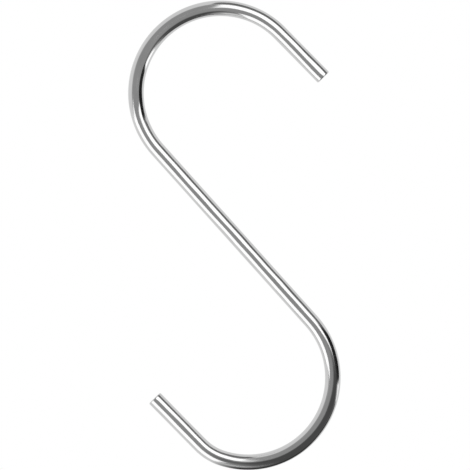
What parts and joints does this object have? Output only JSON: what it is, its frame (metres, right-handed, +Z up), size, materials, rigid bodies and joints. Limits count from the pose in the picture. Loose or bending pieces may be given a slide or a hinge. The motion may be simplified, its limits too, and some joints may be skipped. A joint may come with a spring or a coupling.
{
  "type": "s hook",
  "caption": "S-shaped hook bent from round polished steel wire, with an open hook at each end of a leaning straight shank, for hanging things from a rail.",
  "frame": {"origin": "inside of the upper bend at its crown, where the hook sits on its rail", "axes": "+Z up, +Y along the rail and square to the plane of the wire; seen along +Y the hook reads as an S, and the centres of both bends are on Z"},
  "size_m": [0.0536, 0.004, 0.12],
  "materials": {
    "bright_steel": "polished"
  },
  "bodies": {
    "root": {"hook": "bright_steel"}
  },
  "joints": []
}
